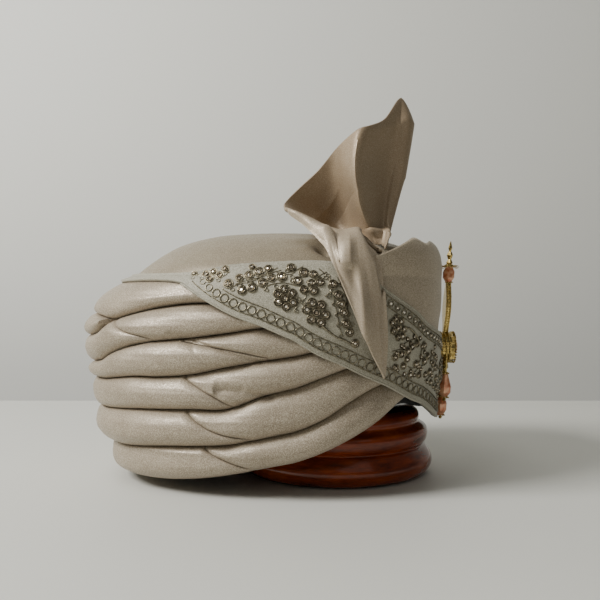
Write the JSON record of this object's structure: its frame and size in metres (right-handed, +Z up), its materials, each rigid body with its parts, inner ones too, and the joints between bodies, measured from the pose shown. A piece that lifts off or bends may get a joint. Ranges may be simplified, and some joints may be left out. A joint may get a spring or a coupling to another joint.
{
  "type": "tied pagri turban on a wooden stand",
  "caption": "Padded satin pagri tied in rolls round the head, with an embroidered band, a standing cloth plume and a hanging brooch, on a turned wooden stand.",
  "frame": {"origin": "centre of the stand's flat underside", "axes": "+X towards the wearer's front, +Y towards the wearer's left, +Z up"},
  "size_m": [0.2775, 0.2224, 0.2667],
  "materials": {
    "satin": "champagne satin with a fine sparkle",
    "band_cloth": "pale cloth with metal thread embroidery",
    "lining": "matte black",
    "stand_wood": "glossy red-brown lacquer",
    "gold": "polished gold plate",
    "pink_glass": "faceted pink glass"
  },
  "bodies": {
    "root": {"stand_base": "stand_wood", "stand_post": "stand_wood", "lining": "lining", "wrap_1": "satin", "wrap_2": "satin", "wrap_3": "satin", "wrap_4": "satin", "wrap_5": "satin", "wrap_6": "satin", "wrap_tuck": "satin", "crown": "satin", "front_panel": "satin", "band": "band_cloth", "plume": "satin", "brooch_frame": "gold", "brooch_stone": "pink_glass", "brooch_top_bead": "pink_glass", "brooch_drop_centre": "pink_glass", "brooch_drop_left": "pink_glass", "brooch_drop_right": "pink_glass", "brooch_tip_bead": "pink_glass"}
  },
  "joints": []
}
